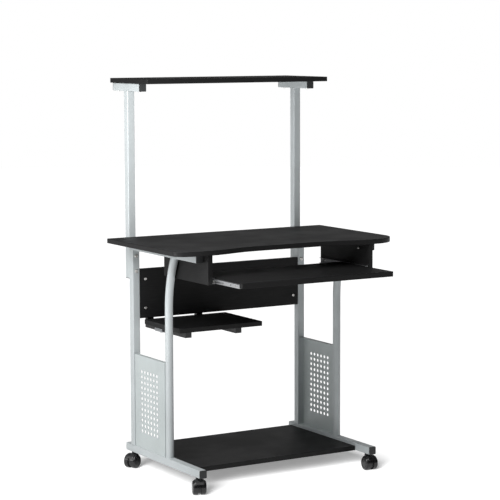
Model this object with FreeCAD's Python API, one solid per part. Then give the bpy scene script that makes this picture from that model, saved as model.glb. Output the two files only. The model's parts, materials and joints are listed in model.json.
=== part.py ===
import FreeCAD, Part
import math
import os

# Mobile printer stand: a rolling workstation with a desktop, a raised printer
# shelf on two masts, a sliding keyboard tray, a small book shelf and a base
# board between two tubular side frames on swivel casters.
#
# Millimetres.  Origin: middle of the stand's footprint at floor level.
# +X is the user's right, -Y is towards the user, +Z is up.

Vector = FreeCAD.Vector
X = Vector(1, 0, 0)
Y = Vector(0, 1, 0)
Z = Vector(0, 0, 1)
SIDES = {"left": -1, "right": 1}

# ---- driving dimensions -----------------------------------------------------
DESK_WIDTH = 806.0
STAND_DEPTH = 724.0            # front of the pulled-out tray to back of the printer shelf
STAND_HEIGHT = 1256.0
DESK_TOP = 751.0
RECESS_Y = -186.0              # desktop front edge, middle
LOBE_Y = -219.0                # desktop front edge, foremost
BOARD = 15.0                   # laminated boards
TUBE = 25.0                    # square and round tube, outside
TUBE_WALL = 1.2
TUBE_CORNER = 2.5
SIDE_X = 312.5                 # centre plane of each side frame
FIT = 0.05                     # radial clearance of running fits
SLIP = 0.1                     # clearance of screws and plugs in their holes

CASTER_HEIGHT = 52.0           # floor to underside of the foot tubes
FOOT_FRONT = -194.0
FOOT_BACK = 295.0
FOOT_TOP = CASTER_HEIGHT + TUBE
FRONT_POST_Y = 17.0
REAR_POST_Y = 246.0
MAST_Y = REAR_POST_Y + TUBE
MAST_BOTTOM = 617.0
RAIL_TOP = DESK_TOP - BOARD
RAIL_BOTTOM = RAIL_TOP - TUBE
RAIL_FRONT = -181.0
DESK_BACK = MAST_Y - TUBE / 2
SHELF_BACK = STAND_DEPTH / 2
TOP_RAIL_TOP = STAND_HEIGHT - BOARD
TOP_RAIL_BOTTOM = TOP_RAIL_TOP - TUBE
TOP_RAIL_FRONT = 177.0
TOP_RAIL_BACK = 360.0
PRINTER_SHELF_WIDTH = 667.0
PRINTER_SHELF_DEPTH = 255.0

POST_BEND_Z = 542.0            # where the round front posts start to lean forward
POST_BEND_RADIUS = 380.0

PANEL_SHEET = 0.8
PANEL_X = 322.0                # outer face of the perforated side panels
PANEL_TOP = 376.0
PANEL_FLANGE = 14.0
PANEL_CORNER = 2.0             # outer radius of the folds
PANEL_FRONT_GAP = 3.0          # open seams between the panel and the posts beside it
PANEL_REAR_GAP = 1.5
HOLE_RADIUS = 4.9
HOLE_COLUMNS = 6
HOLE_ROWS = 12
HOLE_PITCH_Y = 20.3
HOLE_PITCH_Z = 17.5

BACK_PANEL_FRONT = 234.0
BACK_PANEL_BOTTOM = 489.0
BACK_PANEL_TOP = 649.0
PANEL_SCREW_X = 280.0
PANEL_SCREW_Z = (522.0, 616.0)

BASE_FRONT = -113.0
BASE_BACK = 280.0
BASE_TAB_Y = (-60.0, 180.0)
BASE_SCREW_X = 286.0

BOOK_LEFT = -285.0
BOOK_RIGHT = 16.0
BOOK_FRONT = -2.0
BOOK_TOP = 485.0
ARM_X = (-254.0, -73.0)
ARM_WIDTH = 22.0
ARM_HEIGHT = 16.0
ARM_SHEET = 1.5
ARM_TOP = 596.0
CLIP_Y = (148.0, 198.0)

HANGER_OUTER_X = 299.7
HANGER_THICKNESS = 16.0
HANGER_FRONT = -208.0
HANGER_BACK = 70.0
HANGER_BOTTOM = 645.5

TRAY_WIDTH = 543.0
TRAY_DEPTH = 300.0
TRAY_THICKNESS = 16.0
TRAY_TOP = 666.0
TRAY_FRONT = -STAND_DEPTH / 2  # tray pulled out, as at rest

SLIDE_SHEET = 1.0
ROLLER_RADIUS = 5.5
ROLLER_WIDTH = 5.5
ROLLER_PIN = 2.0
CHANNEL_FRONT = -205.0
CHANNEL_LENGTH = 270.0
RUNNER_FRONT = -347.0
RUNNER_LENGTH = 258.0

CASTER_INSET = {"front": 30.0, "rear": 37.0}   # swivel axis from the end of the foot tube
CASTER_YAW = {                 # direction in which each caster trails, degrees from +X
    "front_left": -112.0,
    "front_right": -95.0,
    "rear_left": -150.0,
    "rear_right": -75.0,
}
CASTER_TRAIL = 14.0
WHEEL_RADIUS = 22.5
WHEEL_INNER = 5.0              # distance of a wheel's inner face from the caster's middle
WHEEL_OUTER = 21.0
AXLE_RADIUS = 3.0
AXLE_HALF = 18.0
STEM_RADIUS = 4.0
STEM_TOP = FOOT_TOP - 3.0


# ---- small helpers ----------------------------------------------------------
def box(x0, x1, y0, y1, z0, z1):
    """Solid block between two corners, given in any order."""
    low = Vector(min(x0, x1), min(y0, y1), min(z0, z1))
    return Part.makeBox(abs(x1 - x0), abs(y1 - y0), abs(z1 - z0), low)


def rod(radius, start, axis, length):
    return Part.makeCylinder(radius, length, start, axis)


def fuse(shapes):
    whole = shapes[0].multiFuse(shapes[1:])
    return whole.removeSplitter()


def is_along(edge, axis):
    if not isinstance(edge.Curve, Part.Line):
        return False
    return abs(edge.Curve.Direction.dot(axis)) > 0.999


def round_along(shape, axis, radius):
    """Rounds every straight edge that runs along axis."""
    return shape.makeFillet(radius, [e for e in shape.Edges if is_along(e, axis)])


def ease_board(shape, radius, axis=Z):
    """Eases the edges around the two large faces of a board that is thin along axis."""
    edges = []
    for edge in shape.Edges:
        low = edge.BoundBox.getPoint(0).dot(axis)
        high = edge.BoundBox.getPoint(6).dot(axis)
        if abs(high - low) < 1e-4:
            edges.append(edge)
    return shape.makeFillet(radius, edges)


def flat_board(x0, x1, y0, y1, z0, z1, corner, axis=Z):
    """A board with rounded corners and eased edges, thin along axis."""
    return ease_board(round_along(box(x0, x1, y0, y1, z0, z1), axis, corner), 0.8, axis)


def square_bar(start, axis, length, width, corner):
    """Square bar along axis, from the centre of its end face."""
    half = width / 2
    bar = round_along(box(-half, half, -half, half, 0, length), Z, corner)
    bar.Placement = FreeCAD.Placement(start, FreeCAD.Rotation(Z, axis))
    return bar


def square_tube(start, axis, length):
    outer = square_bar(start, axis, length, TUBE, TUBE_CORNER)
    inner = square_bar(start, axis, length, TUBE - 2 * TUBE_WALL, TUBE_CORNER - TUBE_WALL)
    return outer.cut(inner)


def tube_plug(end, outward):
    """Plastic plug: a thin head over the tube's end and a ribbed body inside it."""
    head_thickness = 2.0
    inside = TUBE - 2 * TUBE_WALL - 2 * SLIP
    head = square_bar(end, outward, head_thickness, TUBE, TUBE_CORNER)
    rim = [e for e in head.Edges if outward.dot(e.CenterOfMass - end) > head_thickness - 0.01]
    head = head.makeFillet(0.8, rim)
    body = square_bar(end - outward * 14, outward, 14, inside, TUBE_CORNER - TUBE_WALL)
    hollow = square_bar(end - outward * 14, outward, 13, inside - 3, 1.0)
    return fuse([head, body.cut(hollow)])


def pan_screw(seat, axis, length, shank=2.0, head=4.0, thickness=2.4):
    """Screw with a domed head on seat and its shank running along axis."""
    cap = rod(head, seat - axis * thickness, axis, thickness)
    crown = [e for e in cap.Edges if axis.dot(e.CenterOfMass - seat) < -thickness + 0.01]
    cap = cap.makeFillet(thickness * 0.6, crown)
    slot_depth = thickness * 0.5
    across = Y if abs(axis.dot(Y)) < 0.5 else X
    other = axis.cross(across)
    for direction in (across, other):
        cutter = box(-0.45, 0.45, -head * 0.6, head * 0.6, 0, slot_depth)
        turn = FreeCAD.Rotation(direction.cross(axis), direction, axis, "ZYX")
        cutter.Placement = FreeCAD.Placement(seat - axis * thickness, turn)
        cap = cap.cut(cutter)
    return fuse([cap, rod(shank, seat - axis * 0.2, axis, length + 0.2)])


def clearance(holes, radius):
    """Cutters for (start, axis, length) holes, a little wider than their screws."""
    return [rod(radius + SLIP, start, axis, length) for start, axis, length in holes]


def cut_all(shape, cutters):
    return shape.cut(Part.makeCompound(cutters)) if cutters else shape


def mirror_x(shape):
    return shape.mirror(Vector(0, 0, 0), X)


def on_side(shape, side):
    """Shapes are drawn for the right side (+X) and mirrored for the left."""
    return shape if side > 0 else mirror_x(shape)


# ---- fastener positions, right side -----------------------------------------
DESK_SCREW_Y = (-140.0, 80.0, 205.0)
SHELF_SCREW_Y = (197.0, 340.0)
MAST_BOLT_Z = (643.0, 692.0)
HANGER_SCREW_Y = (-152.0, 30.0)
HANGER_SCREW_Z = 718.0
CHANNEL_SCREW_Y = (-150.0, -40.0, 45.0)
RUNNER_SCREW_Y = (-300.0, -210.0, -120.0)
EDGE_SCREW_Y = RUNNER_FRONT + 22.0
CASTER_Y = {"front": FOOT_FRONT + CASTER_INSET["front"], "rear": FOOT_BACK - CASTER_INSET["rear"]}

# slide heights and widths, all set by the tray's underside and its side gap
RUNNER_BOTTOM = TRAY_TOP - TRAY_THICKNESS - SLIDE_SHEET
TRACK_UNDER = RUNNER_BOTTOM + 13.0         # underside of the runner's rolling flange
CHANNEL_BOTTOM = RUNNER_BOTTOM - 0.2
CHANNEL_FLOOR = CHANNEL_BOTTOM + SLIDE_SHEET
CHANNEL_TOP = TRACK_UNDER + SLIDE_SHEET + 3.0
TRAY_EDGE = TRAY_WIDTH / 2
HANGER_INNER_X = HANGER_OUTER_X - HANGER_THICKNESS
ROLLER_X = TRAY_EDGE + 2.0
FRONT_ROLLER_Y = CHANNEL_FRONT + 9.0
FRONT_ROLLER_Z = TRACK_UNDER - ROLLER_RADIUS
REAR_ROLLER_Y = RUNNER_FRONT + RUNNER_LENGTH - 9.0
REAR_ROLLER_Z = CHANNEL_FLOOR + ROLLER_RADIUS
CHANNEL_SCREW_Z = (CHANNEL_BOTTOM + CHANNEL_TOP) / 2
EDGE_SCREW_Z = RUNNER_BOTTOM + 7.0


# ---- side frames ------------------------------------------------------------
def foot_tube():
    tube = square_tube(Vector(SIDE_X, FOOT_FRONT + 2, CASTER_HEIGHT + TUBE / 2), Y,
                       FOOT_BACK - FOOT_FRONT - 6)
    holes = []
    for y in CASTER_Y.values():
        holes.append(rod(7.0 + FIT, Vector(SIDE_X, y, CASTER_HEIGHT - 1), Z, TUBE_WALL + 2))
    return cut_all(tube, holes)


def rear_post():
    tube = square_tube(Vector(SIDE_X, REAR_POST_Y, FOOT_TOP), Z, RAIL_BOTTOM - FOOT_TOP)
    return cut_all(tube, clearance(mast_bolt_axes(), 3.0))


def front_post():
    """Round post: straight up from the foot, then leaning forward on one large arc."""
    reach = math.asin((RAIL_BOTTOM + TUBE - POST_BEND_Z) / POST_BEND_RADIUS)
    center_y = FRONT_POST_Y - POST_BEND_RADIUS

    def on_arc(angle):
        return Vector(SIDE_X, center_y + POST_BEND_RADIUS * math.cos(angle),
                      POST_BEND_Z + POST_BEND_RADIUS * math.sin(angle))

    foot = Vector(SIDE_X, FRONT_POST_Y, FOOT_TOP)
    straight = Part.LineSegment(foot, on_arc(0)).toShape()
    bend = Part.Arc(on_arc(0), on_arc(reach / 2), on_arc(reach)).toShape()
    path = Part.Wire([straight, bend])
    skins = []
    for radius in (TUBE / 2, TUBE / 2 - TUBE_WALL):
        section = Part.Wire([Part.makeCircle(radius, foot, Z)])
        skins.append(path.makePipeShell([section], True, False))
    tube = skins[0].cut(skins[1])
    above = box(SIDE_X - TUBE, SIDE_X + TUBE, -200, 100, RAIL_BOTTOM, RAIL_BOTTOM + 3 * TUBE)
    return tube.cut(above)


def desk_rail():
    start = Vector(SIDE_X, RAIL_FRONT + 2, RAIL_TOP - TUBE / 2)
    tube = square_tube(start, Y, DESK_BACK - RAIL_FRONT - 2)
    holes = [(Vector(SIDE_X, y, RAIL_BOTTOM - 1), Z, TUBE + 2) for y in DESK_SCREW_Y]
    for y in HANGER_SCREW_Y:
        holes.append((Vector(HANGER_INNER_X, y, HANGER_SCREW_Z), X, HANGER_THICKNESS + 6))
    return cut_all(tube, clearance(holes, 2.0))


def mast():
    tube = square_tube(Vector(SIDE_X, MAST_Y, MAST_BOTTOM + 2), Z,
                       TOP_RAIL_BOTTOM - MAST_BOTTOM - 2)
    return cut_all(tube, clearance(mast_bolt_axes(), 3.0))


def top_rail():
    start = Vector(SIDE_X, TOP_RAIL_FRONT + 2, TOP_RAIL_TOP - TUBE / 2)
    tube = square_tube(start, Y, TOP_RAIL_BACK - TOP_RAIL_FRONT - 4)
    holes = [(Vector(SIDE_X, y, TOP_RAIL_BOTTOM - 1), Z, TUBE + 2) for y in SHELF_SCREW_Y]
    return cut_all(tube, clearance(holes, 2.0))


def side_panel():
    """Perforated sheet between the two posts, welded to the foot, its four edges folded in."""
    y0 = FRONT_POST_Y + TUBE / 2 + PANEL_FRONT_GAP
    y1 = REAR_POST_Y - TUBE / 2 - PANEL_REAR_GAP
    x0 = PANEL_X - PANEL_FLANGE
    outer = round_along(box(x0, PANEL_X, y0, y1, FOOT_TOP, PANEL_TOP), Z, PANEL_CORNER)
    s = PANEL_SHEET
    inner = box(x0 - 1, PANEL_X - s, y0 + s, y1 - s, FOOT_TOP + s, PANEL_TOP - s)
    sheet = outer.cut(round_along(inner, Z, PANEL_CORNER - s))
    holes = []
    middle_y = (y0 + y1) / 2 + 2
    middle_z = (FOOT_TOP + PANEL_TOP) / 2 + 3
    for column in range(HOLE_COLUMNS):
        for row in range(HOLE_ROWS):
            y = middle_y + (column - (HOLE_COLUMNS - 1) / 2) * HOLE_PITCH_Y
            z = middle_z + (row - (HOLE_ROWS - 1) / 2) * HOLE_PITCH_Z
            holes.append(rod(HOLE_RADIUS, Vector(PANEL_X - 3, y, z), X, 6))
    return cut_all(sheet, holes)


def tube_plugs():
    """Identical square plugs: feet and under-desk rails (front), top rails, masts (below)."""
    plugs = []
    for side in SIDES.values():
        x = side * SIDE_X
        plugs.append(tube_plug(Vector(x, FOOT_FRONT + 2, CASTER_HEIGHT + TUBE / 2), -Y))
        plugs.append(tube_plug(Vector(x, RAIL_FRONT + 2, RAIL_TOP - TUBE / 2), -Y))
        plugs.append(tube_plug(Vector(x, TOP_RAIL_FRONT + 2, TOP_RAIL_TOP - TUBE / 2), -Y))
        plugs.append(tube_plug(Vector(x, TOP_RAIL_BACK - 2, TOP_RAIL_TOP - TUBE / 2), Y))
        plugs.append(tube_plug(Vector(x, MAST_Y, MAST_BOTTOM + 2), -Z))
    return Part.makeCompound(plugs)


def foot_rear_caps():
    """Grey caps with a softly rounded face on the rear ends of the feet."""
    caps = []
    for side in SIDES.values():
        end = Vector(side * SIDE_X, FOOT_BACK - 4, CASTER_HEIGHT + TUBE / 2)
        head = square_bar(end, Y, 4, TUBE, TUBE_CORNER)
        rim = [e for e in head.Edges if e.CenterOfMass.y > end.y + 3.99]
        head = head.makeFillet(3.0, rim)
        body = square_bar(end - Y * 12, Y, 12, TUBE - 2 * TUBE_WALL - 2 * SLIP, 1.2)
        caps.append(fuse([head, body]))
    return Part.makeCompound(caps)


# ---- boards -----------------------------------------------------------------
def arc(x, y, radius, start, end):
    """Arc in the XY plane about (x, y), angles in degrees."""
    points = []
    for angle in (start, (start + end) / 2, end):
        turn = math.radians(angle)
        points.append(Vector(x + radius * math.cos(turn), y + radius * math.sin(turn), 0))
    return Part.Arc(*points).toShape()


def line(x0, y0, x1, y1):
    return Part.LineSegment(Vector(x0, y0, 0), Vector(x1, y1, 0)).toShape()


def desktop_side(lobe_x, lobe_radius, corner_radius):
    """Right half of the outline: recess, ogee, lobe, rounded front corner, side and back."""
    half = DESK_WIDTH / 2
    recess_half = 105.0
    back_radius = 1.5
    run = lobe_x - recess_half
    drop = RECESS_Y - LOBE_Y
    ogee = (run ** 2 + drop ** 2) / (4 * drop)
    swing = math.degrees(math.asin(run / 2 / ogee))
    corner_x = half - corner_radius
    offset_x = corner_x - lobe_x
    offset_y = math.sqrt((lobe_radius - corner_radius) ** 2 - offset_x ** 2)
    corner_y = LOBE_Y + lobe_radius - offset_y
    lean = math.degrees(math.atan2(offset_x, offset_y))
    return [
        line(0, RECESS_Y, recess_half, RECESS_Y),
        arc(recess_half, RECESS_Y - ogee, ogee, 90, 90 - swing),
        arc(lobe_x, LOBE_Y + ogee, ogee, 270 - swing, 270),
        arc(lobe_x, LOBE_Y + lobe_radius, lobe_radius, 270, 270 + lean),
        arc(corner_x, corner_y, corner_radius, 270 + lean, 360),
        line(half, corner_y, half, DESK_BACK - back_radius),
        arc(half - back_radius, DESK_BACK - back_radius, back_radius, 0, 90),
        line(half - back_radius, DESK_BACK, 0, DESK_BACK),
    ]


def desktop():
    """Desktop with two lobes and a shallow recess; its right front corner is the rounder one."""
    edges = desktop_side(304.0, 125.0, 92.0)
    edges += [mirror_x(edge) for edge in desktop_side(316.0, 150.0, 36.0)]
    outline = Part.Wire(Part.__sortEdges__(edges))
    board = Part.Face(outline).extrude(Z * BOARD)
    board.translate(Z * RAIL_TOP)
    board = ease_board(board, 1.2)
    holes = []
    for side in SIDES.values():
        for y in DESK_SCREW_Y:
            holes.append((Vector(side * SIDE_X, y, RAIL_TOP - 1), Z, 11))
    return cut_all(board, clearance(holes, 2.0))


def printer_shelf():
    half = PRINTER_SHELF_WIDTH / 2
    board = flat_board(-half, half, SHELF_BACK - PRINTER_SHELF_DEPTH, SHELF_BACK,
                       TOP_RAIL_TOP, STAND_HEIGHT, 1.5)
    holes = []
    for side in SIDES.values():
        for y in SHELF_SCREW_Y:
            holes.append((Vector(side * SIDE_X, y, TOP_RAIL_TOP - 1), Z, 11))
    return cut_all(board, clearance(holes, 2.0))


def back_panel():
    board = flat_board(-299.5, 299.5, BACK_PANEL_FRONT, BACK_PANEL_FRONT + BOARD,
                       BACK_PANEL_BOTTOM, BACK_PANEL_TOP, 1.5, Y)
    holes = []
    for side in SIDES.values():
        for z in PANEL_SCREW_Z:
            start = Vector(side * PANEL_SCREW_X, BACK_PANEL_FRONT - 1, z)
            holes.append((start, Y, BOARD + 2))
    return cut_all(board, clearance(holes, 2.0))


def base_board():
    board = flat_board(-299.7, 299.7, BASE_FRONT, BASE_BACK,
                       CASTER_HEIGHT, CASTER_HEIGHT + BOARD, 2.0)
    holes = []
    for side in SIDES.values():
        for y in BASE_TAB_Y:
            holes.append((Vector(side * BASE_SCREW_X, y, CASTER_HEIGHT - 1), Z, 12))
    return cut_all(board, clearance(holes, 2.0))


def book_shelf():
    board = flat_board(BOOK_LEFT, BOOK_RIGHT, BOOK_FRONT, BACK_PANEL_FRONT,
                       BOOK_TOP - BOARD, BOOK_TOP, 3.0)
    holes = [(Vector(x, y, BOOK_TOP - BOARD - 1), Z, 11) for x, y in arm_screws()]
    return cut_all(board, clearance(holes, 2.0))


# ---- book shelf supports ----------------------------------------------------
def arm_screws():
    return [(x, y) for x in ARM_X for y in (30.0, 125.0)]


def book_shelf_arms():
    """Two L-shaped black channels: under the shelf, then up behind the back panel."""
    top = BOOK_TOP - BOARD
    bottom = top - ARM_HEIGHT
    back = BACK_PANEL_FRONT + BOARD
    s = ARM_SHEET
    arms = []
    for x in ARM_X:
        x0 = x - ARM_WIDTH / 2
        x1 = x + ARM_WIDTH / 2
        level = box(x0, x1, BOOK_FRONT, back + ARM_HEIGHT, bottom, top)
        upright = box(x0, x1, back, back + ARM_HEIGHT, bottom, ARM_TOP)
        outer = fuse([level, upright])
        groove = box(x0 + s, x1 - s, BOOK_FRONT + s, back + ARM_HEIGHT - s, bottom + s, top + 1)
        slot = box(x0 + s, x1 - s, back - 1, back + ARM_HEIGHT - s, bottom + s, ARM_TOP - s)
        arm = outer.cut(groove).cut(slot)
        holes = [(Vector(x, y, bottom - 1), Z, 4) for ax, y in arm_screws() if ax == x]
        arms.append(cut_all(arm, clearance(holes, 2.0)))
    return Part.makeCompound(arms)


def book_shelf_clips():
    """Zinc-plated saddles clasping each arm from below, near the back."""
    bottom = BOOK_TOP - BOARD - ARM_HEIGHT
    clips = []
    for x in ARM_X:
        half = ARM_WIDTH / 2
        saddle = box(x - half - 2, x + half + 2, CLIP_Y[0], CLIP_Y[1], bottom - 2.5, bottom + 9)
        inside = box(x - half, x + half, CLIP_Y[0] - 1, CLIP_Y[1] + 1, bottom, bottom + 10)
        saddle = round_along(saddle, Y, 1.5).cut(inside)
        stud = rod(6.0, Vector(x, sum(CLIP_Y) / 2, bottom - 6), Z, 4)
        clips.append(fuse([saddle, stud]))
    return Part.makeCompound(clips)


def back_panel_tabs():
    """Steel tabs welded to the rear posts, behind the back panel."""
    back = BACK_PANEL_FRONT + BOARD
    tabs = []
    for side in SIDES.values():
        for z in PANEL_SCREW_Z:
            tab = box(side * 268, side * 300, back, back + 3, z - 15, z + 15)
            hole = rod(2.0 + SLIP, Vector(side * PANEL_SCREW_X, back - 1, z), Y, 5)
            tabs.append(tab.cut(hole))
    return Part.makeCompound(tabs)


def base_board_tabs():
    """Steel tabs welded under the feet, carrying the base board."""
    tabs = []
    for side in SIDES.values():
        for y in BASE_TAB_Y:
            tab = box(side * 272, side * 318, y - 15, y + 15, CASTER_HEIGHT - 2, CASTER_HEIGHT)
            tab = round_along(tab, Z, 4.0)
            hole = rod(2.0 + SLIP, Vector(side * BASE_SCREW_X, y, CASTER_HEIGHT - 3), Z, 4)
            tabs.append(tab.cut(hole))
    return Part.makeCompound(tabs)


# ---- tray hangers and slides ------------------------------------------------
def tray_hanger():
    board = flat_board(HANGER_INNER_X, HANGER_OUTER_X, HANGER_FRONT, HANGER_BACK,
                       HANGER_BOTTOM, RAIL_TOP, 3.0, X)
    holes = [(Vector(HANGER_INNER_X - 1, y, HANGER_SCREW_Z), X, HANGER_THICKNESS + 2)
             for y in HANGER_SCREW_Y]
    holes += [(Vector(HANGER_INNER_X - 1, y, CHANNEL_SCREW_Z), X, 12) for y in CHANNEL_SCREW_Y]
    return cut_all(board, clearance(holes, 2.0))


def slide_channel():
    """Fixed half of the slide: a C channel on the hanger with the front roller's pin."""
    s = SLIDE_SHEET
    x1 = HANGER_INNER_X
    x0 = ROLLER_X
    y0 = CHANNEL_FRONT
    y1 = CHANNEL_FRONT + CHANNEL_LENGTH
    web = box(x1 - s, x1, y0, y1, CHANNEL_BOTTOM, CHANNEL_TOP)
    floor = box(x0, x1, y0, y1, CHANNEL_BOTTOM, CHANNEL_FLOOR)
    roof = box(x0 + 1, x1, y0, y1, CHANNEL_TOP - s, CHANNEL_TOP)
    pin = rod(ROLLER_PIN, Vector(ROLLER_X + 0.5, FRONT_ROLLER_Y, FRONT_ROLLER_Z), X,
              x1 - s - ROLLER_X)
    stop = box(x0, x1, y0 + 48, y0 + 51, CHANNEL_FLOOR - 0.2, CHANNEL_FLOOR + 2.4)
    holes = [(Vector(x1 - 2 * s, y, CHANNEL_SCREW_Z), X, 3 * s) for y in CHANNEL_SCREW_Y]
    return cut_all(fuse([web, floor, roof, pin, stop]), clearance(holes, 2.0))


def slide_runner():
    """Moving half: an L under the tray's edge with a rolling flange and the rear pin."""
    s = SLIDE_SHEET
    x0 = TRAY_EDGE
    y0 = RUNNER_FRONT
    y1 = RUNNER_FRONT + RUNNER_LENGTH
    top = TRACK_UNDER + s
    web = box(x0, x0 + s, y0, y1, RUNNER_BOTTOM, top)
    ledge = box(x0 - 14, x0 + s, y0, y1, RUNNER_BOTTOM, RUNNER_BOTTOM + s)
    reach = 9.3
    track = box(x0, x0 + reach, y0, y1, TRACK_UNDER, top)
    lip = box(x0 + reach - s, x0 + reach, y0, y1, TRACK_UNDER - 2.6, top)
    pin = rod(ROLLER_PIN, Vector(x0 + s, REAR_ROLLER_Y, REAR_ROLLER_Z), X,
              ROLLER_X + ROLLER_WIDTH - 0.5 - x0 - s)
    body = fuse([web, ledge, track, lip, pin])
    holes = [(Vector(x0 - 8, y, RUNNER_BOTTOM - 1), Z, 3) for y in RUNNER_SCREW_Y]
    holes.append((Vector(x0 - 1, EDGE_SCREW_Y, EDGE_SCREW_Z), X, 3))
    cutters = clearance(holes, 1.6)
    for step in range(4):
        hole_y = y0 + 52 + step * 46
        cutters.append(rod(2.2, Vector(x0 - 1, hole_y, RUNNER_BOTTOM + 6), X, 3))
    return cut_all(body, cutters)


def slide_roller(y, z):
    """Nylon roller on a slide pin, slightly crowned at both rims."""
    roller = rod(ROLLER_RADIUS - FIT, Vector(ROLLER_X, y, z), X, ROLLER_WIDTH)
    roller = roller.makeFillet(0.5, [e for e in roller.Edges if isinstance(e.Curve, Part.Circle)])
    bore = rod(ROLLER_PIN + FIT, Vector(ROLLER_X - 1, y, z), X, ROLLER_WIDTH + 2)
    return roller.cut(bore)


def keyboard_tray():
    half = TRAY_WIDTH / 2
    board = flat_board(-half, half, TRAY_FRONT, TRAY_FRONT + TRAY_DEPTH,
                       TRAY_TOP - TRAY_THICKNESS, TRAY_TOP, 3.0)
    holes = []
    for side in SIDES.values():
        for y in RUNNER_SCREW_Y:
            start = Vector(side * (TRAY_EDGE - 8), y, TRAY_TOP - TRAY_THICKNESS - 1)
            holes.append((start, Z, 11))
        start = Vector(side * (TRAY_EDGE + 1), EDGE_SCREW_Y, EDGE_SCREW_Z)
        holes.append((start, X * -side, 14))
    return cut_all(board, clearance(holes, 1.6))


# ---- fasteners --------------------------------------------------------------
def mast_bolt_axes():
    start_y = REAR_POST_Y - TUBE / 2 - 1
    return [(Vector(SIDE_X, start_y, z), Y, 2 * TUBE + 2) for z in MAST_BOLT_Z]


def mast_bolts():
    """Button-head bolts that clamp each mast to the back of its rear post."""
    front = REAR_POST_Y - TUBE / 2
    bolts = []
    for side in SIDES.values():
        for z in MAST_BOLT_Z:
            seat = Vector(side * SIDE_X, front, z)
            bolts.append(pan_screw(seat, Y, 2 * TUBE + 6, 3.0, 6.0, 3.4))
    return Part.makeCompound(bolts)


def mast_nuts():
    back = MAST_Y + TUBE / 2
    nuts = []
    for side in SIDES.values():
        for z in MAST_BOLT_Z:
            corners = []
            for corner in range(7):
                turn = math.radians(60 * corner)
                corners.append(Vector(side * SIDE_X + 5.8 * math.cos(turn), back,
                                      z + 5.8 * math.sin(turn)))
            nut = Part.Face(Part.makePolygon(corners)).extrude(Y * 5)
            bore = rod(3.0 + SLIP, Vector(side * SIDE_X, back - 1, z), Y, 7)
            nuts.append(nut.cut(bore))
    return Part.makeCompound(nuts)


def back_panel_screws():
    screws = []
    for side in SIDES.values():
        for z in PANEL_SCREW_Z:
            seat = Vector(side * PANEL_SCREW_X, BACK_PANEL_FRONT, z)
            screws.append(pan_screw(seat, Y, BOARD + 5, 2.0, 5.0, 2.6))
    return Part.makeCompound(screws)


def rail_screws():
    """Long screws up through the rails into the desktop and the printer shelf."""
    screws = []
    for side in SIDES.values():
        for y in DESK_SCREW_Y:
            screws.append(pan_screw(Vector(side * SIDE_X, y, RAIL_BOTTOM), Z, TUBE + 9))
        for y in SHELF_SCREW_Y:
            screws.append(pan_screw(Vector(side * SIDE_X, y, TOP_RAIL_BOTTOM), Z, TUBE + 9))
    return Part.makeCompound(screws)


def hanger_screws():
    screws = []
    for side in SIDES.values():
        for y in HANGER_SCREW_Y:
            seat = Vector(side * HANGER_INNER_X, y, HANGER_SCREW_Z)
            screws.append(pan_screw(seat, X * side, HANGER_THICKNESS + 4))
    return Part.makeCompound(screws)


def board_screws():
    """Short screws: base board tabs, slide channels and book shelf arms."""
    screws = []
    for side in SIDES.values():
        for y in BASE_TAB_Y:
            screws.append(pan_screw(Vector(side * BASE_SCREW_X, y, CASTER_HEIGHT - 2), Z, 11))
        for y in CHANNEL_SCREW_Y:
            seat = Vector(side * (HANGER_INNER_X - SLIDE_SHEET), y, CHANNEL_SCREW_Z)
            screws.append(pan_screw(seat, X * side, 11, 2.0, 3.4, 1.6))
    for x, y in arm_screws():
        seat = Vector(x, y, BOOK_TOP - BOARD - ARM_HEIGHT)
        screws.append(pan_screw(seat, Z, ARM_HEIGHT + 9))
    return Part.makeCompound(screws)


def tray_screws():
    """Screws up through each runner's ledge, and a flat one through its web near the front."""
    screws = []
    for side in SIDES.values():
        for y in RUNNER_SCREW_Y:
            seat = Vector(side * (TRAY_EDGE - 8), y, RUNNER_BOTTOM)
            screws.append(pan_screw(seat, Z, 10, 1.6, 3.4, 1.8))
        seat = Vector(side * (TRAY_EDGE + SLIDE_SHEET), EDGE_SCREW_Y, EDGE_SCREW_Z)
        screws.append(pan_screw(seat, X * -side, 12, 1.6, 3.4, 0.6))
    return Part.makeCompound(screws)


# ---- casters ----------------------------------------------------------------
def caster_sockets():
    """Flanged sleeves pressed into the feet, one for each caster stem."""
    sockets = []
    for side in SIDES.values():
        for y in CASTER_Y.values():
            base = Vector(side * SIDE_X, y, CASTER_HEIGHT - 2)
            flange = rod(9.0, base, Z, 2)
            sleeve = rod(7.0, base, Z, TUBE - TUBE_WALL + 1)
            bore = rod(STEM_RADIUS + FIT, base - Z, Z, TUBE + 4)
            sockets.append(fuse([flange, sleeve]).cut(bore))
    return Part.makeCompound(sockets)


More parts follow.
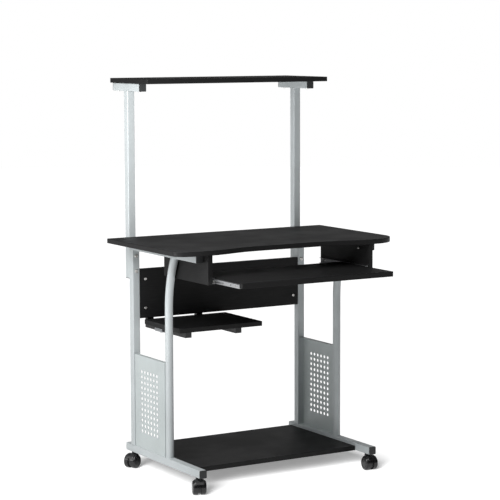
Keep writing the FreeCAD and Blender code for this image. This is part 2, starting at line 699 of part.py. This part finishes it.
def caster_housing():
    """Hood and centre web, drawn with the swivel axis on Z and the axle at +X."""
    gap = 0.8
    hood_radius = WHEEL_RADIUS + gap + 2.0
    axle = Vector(CASTER_TRAIL, 0, WHEEL_RADIUS)
    hood = rod(hood_radius, axle - Y * 16, Y, 32)
    hood = hood.makeFillet(4.0, [e for e in hood.Edges if isinstance(e.Curve, Part.Circle)])
    low = box(-60, 60, -30, 30, -10, WHEEL_RADIUS - 2)
    behind = box(CASTER_TRAIL + 8, 60, -30, 30, -10, WHEEL_RADIUS + 12)
    hood = hood.cut(low).cut(behind)
    web = rod(WHEEL_RADIUS - 4, axle - Y * (WHEEL_INNER - 0.5), Y, 2 * WHEEL_INNER - 1)
    boss = rod(9.0, Vector(0, 0, WHEEL_RADIUS), Z, CASTER_HEIGHT - 2.3 - WHEEL_RADIUS)
    body = fuse([hood, web, boss])
    for direction in (1, -1):
        start = axle + Y * direction * (WHEEL_INNER - 0.5)
        body = body.cut(rod(WHEEL_RADIUS + gap, start, Y * direction, 40))
    body = body.cut(rod(AXLE_RADIUS + SLIP / 2, axle - Y * 20, Y, 40))
    stem_hole = rod(STEM_RADIUS + SLIP / 2, Vector(0, 0, 38), Z, 40)
    return body.cut(stem_hole)


def caster_pins():
    """Steel stem and axle of one caster."""
    stem = rod(STEM_RADIUS, Vector(0, 0, 38.2), Z, STEM_TOP - 38.2)
    stem = stem.makeChamfer(0.8, [e for e in stem.Edges if e.CenterOfMass.z > STEM_TOP - 1])
    start = Vector(CASTER_TRAIL, -AXLE_HALF, WHEEL_RADIUS)
    return Part.makeCompound([stem, rod(AXLE_RADIUS, start, Y, 2 * AXLE_HALF)])


def caster_wheel(direction):
    """Twin wheel half: a disc rounded at its outer rim, with a ring groove and a blind bore."""
    start = Vector(0, WHEEL_INNER, 0)
    wheel = rod(WHEEL_RADIUS, start, Y, WHEEL_OUTER - WHEEL_INNER)
    rims = [e for e in wheel.Edges if isinstance(e.Curve, Part.Circle)]
    outer_rim = [e for e in rims if e.CenterOfMass.y > WHEEL_OUTER - 0.01]
    wheel = wheel.makeFillet(6.0, outer_rim)
    groove = rod(14.5, Vector(0, WHEEL_OUTER - 1.4, 0), Y, 3)
    groove = groove.cut(rod(13.0, Vector(0, WHEEL_OUTER - 3, 0), Y, 6))
    bore = rod(AXLE_RADIUS + FIT, Vector(0, 0, 0), Y, AXLE_HALF + 0.3)
    wheel = wheel.cut(groove).cut(bore)
    wheel.translate(Vector(CASTER_TRAIL, 0, WHEEL_RADIUS))
    return wheel if direction > 0 else wheel.mirror(Vector(0, 0, 0), Y)


def place_caster(shape, corner):
    end, side = corner.split("_")
    place = Vector(SIDES[side] * SIDE_X, CASTER_Y[end], 0)
    turn = FreeCAD.Rotation(Z, CASTER_YAW[corner])
    moved = shape.copy()
    moved.Placement = FreeCAD.Placement(place, turn).multiply(moved.Placement)
    return moved


# ---- assembly ---------------------------------------------------------------
def all_nodes():
    nodes = {}
    handed = {
        "foot_tube": foot_tube(),
        "rear_post": rear_post(),
        "front_post": front_post(),
        "side_panel": side_panel(),
        "desk_rail": desk_rail(),
        "mast": mast(),
        "top_rail": top_rail(),
        "tray_hanger": tray_hanger(),
        "slide_channel": slide_channel(),
        "slide_runner": slide_runner(),
        "front_roller": slide_roller(FRONT_ROLLER_Y, FRONT_ROLLER_Z),
        "rear_roller": slide_roller(REAR_ROLLER_Y, REAR_ROLLER_Z),
    }
    for hand, side in SIDES.items():
        for name, shape in handed.items():
            nodes[hand + "_" + name] = on_side(shape, side)
    single = (desktop, printer_shelf, back_panel, base_board, book_shelf, keyboard_tray,
              tube_plugs, foot_rear_caps, book_shelf_arms, book_shelf_clips,
              back_panel_tabs, base_board_tabs, caster_sockets, mast_bolts, mast_nuts,
              back_panel_screws, rail_screws, hanger_screws, board_screws, tray_screws)
    for make in single:
        nodes[make.__name__] = make()
    caster = {
        "caster_housing": caster_housing(),
        "caster_pins": caster_pins(),
        "wheel_a": caster_wheel(1),
        "wheel_b": caster_wheel(-1),
    }
    for corner in CASTER_YAW:
        for name, shape in caster.items():
            nodes[corner + "_" + name] = place_caster(shape, corner)
    return nodes


os.makedirs("parts", exist_ok=True)
for name, shape in all_nodes().items():
    if not shape.isValid():
        raise ValueError(name + " is not a valid shape")
    shape.exportStep(os.path.join("parts", name + ".step"))
    print(name, len(shape.Solids), "solids", round(shape.Volume / 1000, 1), "cm3")
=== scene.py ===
"""Mobile printer stand: finishes, weld beads, floor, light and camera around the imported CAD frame.

Metres.  +X is the user's right, -Y is towards the user, +Z is up.
"""

import json
import math
import random

import bmesh
import bpy
from mathutils import Euler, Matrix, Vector


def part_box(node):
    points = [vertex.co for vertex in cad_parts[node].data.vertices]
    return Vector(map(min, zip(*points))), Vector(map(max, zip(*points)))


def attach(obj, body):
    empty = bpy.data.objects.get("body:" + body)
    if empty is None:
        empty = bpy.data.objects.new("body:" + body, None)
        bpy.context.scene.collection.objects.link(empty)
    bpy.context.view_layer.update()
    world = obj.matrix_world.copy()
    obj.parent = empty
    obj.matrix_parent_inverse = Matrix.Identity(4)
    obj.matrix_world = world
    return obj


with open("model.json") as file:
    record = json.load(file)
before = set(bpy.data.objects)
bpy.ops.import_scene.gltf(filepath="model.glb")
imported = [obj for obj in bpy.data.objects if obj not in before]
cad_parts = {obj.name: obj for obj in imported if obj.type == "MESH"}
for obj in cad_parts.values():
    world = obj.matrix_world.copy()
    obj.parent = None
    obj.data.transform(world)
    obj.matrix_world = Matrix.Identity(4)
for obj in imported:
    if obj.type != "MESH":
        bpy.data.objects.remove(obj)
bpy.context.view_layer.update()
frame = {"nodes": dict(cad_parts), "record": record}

SIDES = ("left", "right")
MM = 0.001

# ---- camera ------------------------------------------------------------------
CAMERA_PLACE = Vector((-3.0499, -5.0450, 1.3897))
CAMERA_YAW = 31.61          # degrees from +Y towards +X
CAMERA_PITCH = -6.71
CAMERA_ROLL = -0.10
CAMERA_LENS = 134.59        # mm on a 36 mm sensor
CAMERA_SHIFT = (-0.0449, 0.0113)

# ---- light -------------------------------------------------------------------
ROOM_LIGHT = 0.06           # what the white room adds to the stand; the camera sees it at 1
SKY_LIGHT = 1.25            # broad, very soft light from above and left
SIDE_LAMP = 13.6            # tall softbox left of the stand, low enough to reach the feet
NEAR_LAMP = 8.3             # small softbox close to the left mast, so light falls off to the right
BACK_LAMP = 4.5             # wide and low behind the stand, gives the flat boards their sheen
FLOOR_LIGHT = 6.1           # low and from the left, reaches a little way under the base board
FLOOR_GLOW = 0.30           # lifts the floor to white around the shadows
FLOOR_RADIUS = 14.0

# ---- weld beads --------------------------------------------------------------
TUBE_CORNER = 2.5 * MM      # outer corner radius of the square tubes
BEAD_STEP = 1.3 * MM        # distance between the rings of a bead
BEAD_SIDES = 8
BEAD_RADIUS = 1.15          # mm, with the two below
BEAD_RIPPLE = 0.22
BEAD_UNEVENNESS = 0.14
LEAN_STRETCH = 1.116        # how much longer the leaning front post's round section is at its top


# ---- node building -----------------------------------------------------------
class Finish:
    """One Principled material, and short ways to add nodes to it."""

    def __init__(self, name, metallic=0.0, specular=0.5, coat=0.0, coat_roughness=0.2):
        self.material = bpy.data.materials.new(name)
        self.material.use_nodes = True
        self.tree = self.material.node_tree
        self.shader = self.tree.nodes["Principled BSDF"]
        self.shader.inputs["Metallic"].default_value = metallic
        self.shader.inputs["Specular IOR Level"].default_value = specular
        self.shader.inputs["Coat Weight"].default_value = coat
        self.shader.inputs["Coat Roughness"].default_value = coat_roughness
        coordinates = self.tree.nodes.new("ShaderNodeTexCoord")
        self.place = coordinates.outputs["Object"]
        self.facing = coordinates.outputs["Normal"]
        self.normal = None

    def feed(self, socket, value):
        if isinstance(value, bpy.types.NodeSocket):
            self.tree.links.new(value, socket)
        else:
            socket.default_value = value

    def math(self, operation, a, b=0.0):
        node = self.tree.nodes.new("ShaderNodeMath")
        node.operation = operation
        self.feed(node.inputs[0], a)
        self.feed(node.inputs[1], b)
        return node.outputs[0]

    def span(self, value, low, high, new_low, new_high):
        """value from low..high, mapped to new_low..new_high and held inside it."""
        node = self.tree.nodes.new("ShaderNodeMapRange")
        node.interpolation_type = "SMOOTHSTEP"
        self.feed(node.inputs["Value"], value)
        for name, number in zip(("From Min", "From Max", "To Min", "To Max"),
                                (low, high, new_low, new_high)):
            node.inputs[name].default_value = number
        return node.outputs["Result"]

    def mix(self, amount, a, b):
        """Colour a, turning to colour b as amount goes from 0 to 1."""
        node = self.tree.nodes.new("ShaderNodeMix")
        node.data_type = "RGBA"
        self.feed(node.inputs["Factor"], amount)
        for socket, colour in zip([s for s in node.inputs if s.type == "RGBA"], (a, b)):
            self.feed(socket, (*colour, 1.0) if isinstance(colour, tuple) else colour)
        return [s for s in node.outputs if s.type == "RGBA"][0]

    def noise(self, scale, detail=2.0, roughness=0.5, stretch=(1, 1, 1)):
        mapping = self.tree.nodes.new("ShaderNodeMapping")
        mapping.inputs["Scale"].default_value = stretch
        self.tree.links.new(self.place, mapping.inputs["Vector"])
        node = self.tree.nodes.new("ShaderNodeTexNoise")
        self.tree.links.new(mapping.outputs["Vector"], node.inputs["Vector"])
        node.inputs["Scale"].default_value = scale
        node.inputs["Detail"].default_value = detail
        node.inputs["Roughness"].default_value = roughness
        return node.outputs["Fac"]

    def faces_along(self, axis):
        """1 on faces square to the axis (0, 1 or 2), 0 on the faces around them."""
        split = self.tree.nodes.new("ShaderNodeSeparateXYZ")
        self.tree.links.new(self.facing, split.inputs[0])
        size = self.math("ABSOLUTE", split.outputs[axis])
        return self.span(size, 0.80, 0.97, 0.0, 1.0)

    def edges(self, radius):
        """1 along sharp edges, from how far a rounded normal leans from the real one."""
        bevel = self.tree.nodes.new("ShaderNodeBevel")
        bevel.samples = 6
        bevel.inputs["Radius"].default_value = radius
        real = self.tree.nodes.new("ShaderNodeNewGeometry")
        dot = self.tree.nodes.new("ShaderNodeVectorMath")
        dot.operation = "DOT_PRODUCT"
        self.tree.links.new(bevel.outputs["Normal"], dot.inputs[0])
        self.tree.links.new(real.outputs["Normal"], dot.inputs[1])
        return self.span(dot.outputs["Value"], 0.80, 0.99, 1.0, 0.0)

    def bump(self, height, depth):
        """Adds relief of that depth, in metres, over any relief there already."""
        node = self.tree.nodes.new("ShaderNodeBump")
        node.inputs["Distance"].default_value = depth
        node.inputs["Strength"].default_value = 1.0
        self.tree.links.new(height, node.inputs["Height"])
        if self.normal is not None:
            self.tree.links.new(self.normal, node.inputs["Normal"])
        self.normal = node.outputs["Normal"]

    def done(self, colour, roughness):
        self.feed(self.shader.inputs["Base Color"], colour)
        self.feed(self.shader.inputs["Roughness"], roughness)
        if self.normal is not None:
            self.tree.links.new(self.normal, self.shader.inputs["Normal"])
        return self.material


# ---- finishes ----------------------------------------------------------------
def powder_coat(name, colour, worn, metallic, rough=(0.36, 0.50)):
    """Sprayed powder coat: orange peel, fine flake, slight mottling, rubbed edges."""
    f = Finish(name, metallic=metallic)
    mottle = f.span(f.noise(9.0, 3.0), 0.35, 0.65, 0.0, 1.0)
    shade = tuple(c * 0.93 for c in colour)
    base = f.mix(mottle, shade, colour)
    flake = f.span(f.noise(2400.0, 0.0), 0.60, 0.72, 0.0, 0.35)
    base = f.mix(flake, base, tuple(min(1.0, c * 1.25) for c in colour))
    rubbed = f.math("MULTIPLY", f.edges(0.9 * MM), f.span(f.noise(45.0, 4.0), 0.42, 0.62, 0.0, 0.7))
    base = f.mix(rubbed, base, worn)
    f.bump(f.noise(620.0, 1.0), 0.05 * MM)
    return f.done(base, f.span(f.noise(70.0, 3.0), 0.3, 0.7, *rough))


def laminate(name, thin_axis):
    """Black laminated board: embossed faces, smoother banded edges, handling marks, and a painted
    highlight along the edges.
    """
    f = Finish(name, specular=0.22)
    face = f.faces_along(thin_axis)
    stretch = [0.06, 1.0, 1.0] if thin_axis != 0 else [1.0, 0.06, 1.0]
    grain = f.noise(420.0, 3.0, 0.6, stretch)
    pebble = f.noise(1500.0, 1.0)
    streaks = f.span(grain, 0.35, 0.68, 0.0, 1.0)
    base = f.mix(streaks, (0.0085, 0.0085, 0.0088), (0.0130, 0.0130, 0.0134))
    base = f.mix(face, (0.0095, 0.0095, 0.0098), base)
    haze = f.span(f.noise(3.5, 2.0, 0.5), 0.40, 0.70, 0.0, 0.25)
    base = f.mix(f.math("MULTIPLY", haze, face), base, (0.017, 0.017, 0.0175))
    # Lighter along the edges: partly knocked wear, partly a painted highlight where the edges catch
    # light.
    lip = f.edges(0.8 * MM)
    knocks_and_edge_highlight = f.math("MULTIPLY", lip, f.span(f.noise(60.0, 4.0), 0.35, 0.65, 0.35, 1.0))
    base = f.mix(knocks_and_edge_highlight, base, (0.050, 0.050, 0.051))
    relief = f.math("MULTIPLY", f.math("ADD", grain, f.math("MULTIPLY", pebble, 0.6)), face)
    f.bump(relief, 0.045 * MM)
    satin = f.span(f.noise(8.0, 3.0, 0.5), 0.35, 0.68, 0.47, 0.54)
    rough = f.math("ADD", satin, f.span(face, 0.0, 1.0, -0.06, 0.05))
    return f.done(base, rough)


def moulded(name, colour, worn, rough, depth=0.03, coat=0.0):
    """Moulded plastic: spark-eroded grain, faint flow marks and scuffed edges."""
    f = Finish(name, coat=coat)
    flow = f.span(f.noise(30.0, 3.0, 0.6, (1, 1, 0.4)), 0.35, 0.65, 0.0, 1.0)
    base = f.mix(flow, tuple(c * 0.86 for c in colour), colour)
    scuff = f.math("MULTIPLY", f.edges(0.8 * MM), f.span(f.noise(90.0, 4.0), 0.40, 0.62, 0.1, 0.9))
    base = f.mix(scuff, base, worn)
    f.bump(f.noise(1300.0, 2.0), depth * MM)
    return f.done(base, f.span(f.noise(120.0, 4.0), 0.3, 0.7, *rough))


def rolling_plastic(name):
    """Caster wheel plastic: glossy, with a dull dusty bloom in patches and fine scratches."""
    f = Finish(name, specular=0.6)
    bloom = f.span(f.noise(110.0, 4.0, 0.65), 0.50, 0.72, 0.0, 0.45)
    scratch = f.span(f.noise(900.0, 1.0, 0.5, (1, 1, 0.08)), 0.62, 0.72, 0.0, 0.5)
    base = f.mix(bloom, (0.009, 0.009, 0.010), (0.034, 0.033, 0.031))
    base = f.mix(f.math("MULTIPLY", f.edges(0.7 * MM), 0.4), base, (0.055, 0.054, 0.052))
    f.bump(scratch, 0.03 * MM)
    return f.done(base, f.span(bloom, 0.0, 0.45, 0.20, 0.44))


def drawn_steel(name, colour, rough, along, worn=(0.45, 0.44, 0.42)):
    """Plated or plain steel with drawing lines along one axis and dull spots."""
    f = Finish(name, metallic=1.0)
    stretch = [1.0, 1.0, 1.0]
    stretch[along] = 0.03
    lines = f.noise(900.0, 2.0, 0.5, stretch)
    base = f.mix(f.span(lines, 0.35, 0.65, 0.0, 1.0), tuple(c * 0.84 for c in colour), colour)
    dull = f.span(f.noise(55.0, 5.0, 0.6), 0.52, 0.72, 0.0, 0.6)
    base = f.mix(dull, base, worn)
    f.bump(lines, 0.02 * MM)
    return f.done(base, f.math("ADD", f.span(lines, 0.3, 0.7, rough, rough + 0.10),
                               f.math("MULTIPLY", dull, 0.25)))


SILVER = (0.52, 0.557, 0.566)
FINISHES = {
    "silver_tube": powder_coat("silver_tube", SILVER, (0.72, 0.74, 0.75), 0.15),
    "silver_sheet": powder_coat("silver_sheet", (0.50, 0.546, 0.546), (0.70, 0.73, 0.73), 0.15),
    "black_steel": powder_coat("black_steel", (0.020, 0.020, 0.021), (0.09, 0.09, 0.09), 0.0),
    "black_plug": moulded("black_plug", (0.030, 0.032, 0.033), (0.09, 0.09, 0.09), (0.42, 0.56)),
    "grey_cap": moulded("grey_cap", (0.52, 0.55, 0.56), (0.68, 0.69, 0.69), (0.38, 0.50)),
    "roller_nylon": moulded("roller_nylon", (0.78, 0.78, 0.75), (0.62, 0.61, 0.57), (0.32, 0.45)),
    "caster_plastic": moulded("caster_plastic", (0.014, 0.014, 0.015), (0.07, 0.07, 0.07),
                              (0.24, 0.38), 0.015),
    "wheel_plastic": rolling_plastic("wheel_plastic"),
    "slide_steel": drawn_steel("slide_steel", (0.66, 0.67, 0.69), 0.30, 1),
    "zinc_steel": drawn_steel("zinc_steel", (0.60, 0.61, 0.63), 0.34, 1),
    "pin_steel": drawn_steel("pin_steel", (0.52, 0.52, 0.53), 0.30, 2),
    "nickel_screw": drawn_steel("nickel_screw", (0.70, 0.69, 0.67), 0.20, 2),
}
LAMINATES = [laminate("black_board_" + name, axis) for axis, name in enumerate("xyz")]


def thinnest_axis(node):
    low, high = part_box(node)
    sizes = list(high - low)
    return sizes.index(min(sizes))


def finish_cad_nodes():
    """Every CAD node takes the finish of its material slot."""
    for part in frame["record"]["subparts"]:
        node, slot = part["node"], part["material_slot"]
        finish = LAMINATES[thinnest_axis(node)] if slot == "black_board" else FINISHES[slot]
        mesh_object = frame["nodes"][node]
        mesh_object.data.materials.clear()
        mesh_object.data.materials.append(finish)


# ---- weld beads --------------------------------------------------------------
def square_path(low, high, corner, step):
    """Points round a rounded square in XY, between two corners."""
    centres = [(high.x - corner, high.y - corner, 0), (low.x + corner, high.y - corner, 90),
               (low.x + corner, low.y + corner, 180), (high.x - corner, low.y + corner, 270)]
    corners = []
    for x, y, start in centres:
        for turn in (0, 30, 60, 90):
            a = math.radians(start + turn)
            corners.append((x + corner * math.cos(a), y + corner * math.sin(a)))
    points = []
    for (x0, y0), (x1, y1) in zip(corners, corners[1:] + corners[:1]):
        count = max(1, round(math.hypot(x1 - x0, y1 - y0) / step))
        for i in range(count):
            points.append((x0 + (x1 - x0) * i / count, y0 + (y1 - y0) * i / count))
    return points


def oval_path(x, y, radius_x, radius_y, step):
    count = round(2 * math.pi * max(radius_x, radius_y) / step)
    points = []
    for i in range(count):
        a = 2 * math.pi * i / count
        points.append((x + radius_x * math.cos(a), y + radius_y * math.sin(a)))
    return points


def weld_bead(name, points, z, seed):
    """A rippled ring of weld lying in the corner between two tubes."""
    chance = random.Random(seed)
    mesh = bmesh.new()
    rings = []
    for i, (x, y) in enumerate(points):
        before, after = points[i - 1], points[(i + 1) % len(points)]
        along = Vector((after[0] - before[0], after[1] - before[1], 0)).normalized()
        out = Vector((along.y, -along.x, 0))
        ripple = BEAD_RIPPLE * math.sin(i * 2.1)
        uneven = chance.uniform(-BEAD_UNEVENNESS, BEAD_UNEVENNESS)
        size = (BEAD_RADIUS + ripple + uneven) * MM
        ring = []
        for j in range(BEAD_SIDES):
            a = 2 * math.pi * j / BEAD_SIDES
            spot = Vector((x, y, z)) + out * (math.cos(a) * size) + Vector((0, 0, math.sin(a) * size))
            ring.append(mesh.verts.new(spot))
        rings.append(ring)
    for ring, following in zip(rings, rings[1:] + rings[:1]):
        for j in range(BEAD_SIDES):
            k = (j + 1) % BEAD_SIDES
            mesh.faces.new((ring[j], ring[k], following[k], following[j]))
    bmesh.ops.recalc_face_normals(mesh, faces=mesh.faces)
    data = bpy.data.meshes.new(name)
    mesh.to_mesh(data)
    mesh.free()
    for face in data.polygons:
        face.use_smooth = True
    bead = bpy.data.objects.new(name, data)
    bpy.context.scene.collection.objects.link(bead)
    data.materials.append(FINISHES["silver_tube"])
    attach(bead, "frame")


def weld_the_tubes():
    for number, side in enumerate(SIDES):
        low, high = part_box(side + "_rear_post")
        square = square_path(low, high, TUBE_CORNER, BEAD_STEP)
        weld_bead(side + "_rear_post_foot_weld", square, low.z, 10 + number)
        weld_bead(side + "_rear_post_rail_weld", square, high.z, 20 + number)
        low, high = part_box(side + "_mast")
        square = square_path(low, high, TUBE_CORNER, BEAD_STEP)
        weld_bead(side + "_mast_rail_weld", square, high.z, 30 + number)
        low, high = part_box(side + "_front_post")
        radius = (high.x - low.x) / 2
        middle = (high.x + low.x) / 2
        foot = oval_path(middle, high.y - radius, radius, radius, BEAD_STEP)
        weld_bead(side + "_front_post_foot_weld", foot, low.z, 40 + number)
        leaning = radius * LEAN_STRETCH
        head = oval_path(middle, low.y + leaning, radius, leaning, BEAD_STEP)
        weld_bead(side + "_front_post_rail_weld", head, high.z, 50 + number)


# ---- stage -------------------------------------------------------------------
def seen_by_camera(tree, otherwise, seen):
    """One value for what the camera sees, and another for the light that lands on the stand."""
    path = tree.nodes.new("ShaderNodeLightPath")
    level = tree.nodes.new("ShaderNodeMapRange")
    level.inputs["To Min"].default_value = otherwise
    level.inputs["To Max"].default_value = seen
    tree.links.new(path.outputs["Is Camera Ray"], level.inputs["Value"])
    return level.outputs["Result"]


def make_floor():
    mesh = bmesh.new()
    bmesh.ops.create_circle(mesh, cap_ends=True, segments=96, radius=FLOOR_RADIUS)
    data = bpy.data.meshes.new("floor")
    mesh.to_mesh(data)
    mesh.free()
    floor = bpy.data.objects.new("floor", data)
    bpy.context.scene.collection.objects.link(floor)
    f = Finish("floor", specular=0.2)
    tone = f.mix(f.noise(0.8, 2.0), (0.90, 0.90, 0.90), (0.92, 0.92, 0.92))
    f.shader.inputs["Emission Color"].default_value = (1.0, 1.0, 1.0, 1.0)
    f.tree.links.new(seen_by_camera(f.tree, 0.0, FLOOR_GLOW), f.shader.inputs["Emission Strength"])
    data.materials.append(f.done(tone, 0.8))
    return floor


def aim(thing, target):
    thing.rotation_euler = (Vector(target) - thing.location).to_track_quat("-Z", "Y").to_euler()


def add_light(name, kind, place, target, energy, size):
    data = bpy.data.lights.new(name, kind)
    data.energy = energy
    if kind == "SUN":
        data.angle = math.radians(size)
    else:
        data.shape = "RECTANGLE"
        data.size, data.size_y = size
    light = bpy.data.objects.new(name, data)
    light.location = place
    light.visible_camera = False
    aim(light, target)
    bpy.context.scene.collection.objects.link(light)
    return light


def light_group(name, things, state="INCLUDE"):
    """A group for light linking: the only things that count, or with EXCLUDE the ones that don't."""
    group = bpy.data.collections.new(name)
    for thing in things:
        group.objects.link(thing)
    for entry in group.collection_objects:
        entry.light_linking.link_state = state
    return group


def light_the_room(floor):
    scene = bpy.context.scene
    world = bpy.data.worlds.new("studio")
    world.use_nodes = True
    backdrop = world.node_tree.nodes["Background"]
    backdrop.inputs["Color"].default_value = (1.0, 1.0, 1.0, 1.0)
    strength = seen_by_camera(world.node_tree, ROOM_LIGHT, 1.0)
    world.node_tree.links.new(strength, backdrop.inputs["Strength"])
    scene.world = world
    stand_lights = [
        add_light("sky", "SUN", (-1.5, -0.6, 4.0), (0, 0, 0.4), SKY_LIGHT, 70),
        add_light("side", "AREA", (-1.6, 0.1, 1.0), (-0.31, 0.1, 0.6), SIDE_LAMP, (0.8, 1.4)),
        add_light("near", "AREA", (-0.75, -0.45, 1.2), (-0.31, 0.27, 1.1), NEAR_LAMP, (0.3, 0.5)),
        add_light("back", "AREA", (2.1, 2.4, 1.2), (0.0, 0.0, 0.7), BACK_LAMP, (2.4, 1.6)),
    ]
    floor_light = add_light("floor_light", "SUN", (-3.4, -2.9, 2.2), (0, 0, 0), FLOOR_LIGHT, 28)
    low_words = ("foot_tube", "base_board", "caster_housing", "wheel")
    low_nodes = [thing for name, thing in frame["nodes"].items()
                 if any(word in name for word in low_words)]
    not_floor = light_group("not_the_floor", [floor], "EXCLUDE")
    for light in stand_lights:
        light.light_linking.receiver_collection = not_floor
    floor_light.light_linking.receiver_collection = light_group("only_the_floor", [floor])
    floor_light.light_linking.blocker_collection = light_group("low_parts", low_nodes)
    scene.view_settings.view_transform = "Standard"


def place_camera():
    data = bpy.data.cameras.new("camera")
    data.sensor_width = 36.0
    data.lens = CAMERA_LENS
    data.shift_x, data.shift_y = CAMERA_SHIFT
    camera = bpy.data.objects.new("camera", data)
    camera.location = CAMERA_PLACE
    look = Euler((math.radians(90 + CAMERA_PITCH), 0, math.radians(-CAMERA_YAW)), "XYZ")
    roll = Euler((0, 0, math.radians(CAMERA_ROLL)), "XYZ")
    camera.rotation_euler = (look.to_matrix() @ roll.to_matrix()).to_euler()
    bpy.context.scene.collection.objects.link(camera)
    bpy.context.scene.camera = camera


finish_cad_nodes()
weld_the_tubes()
light_the_room(make_floor())
place_camera()
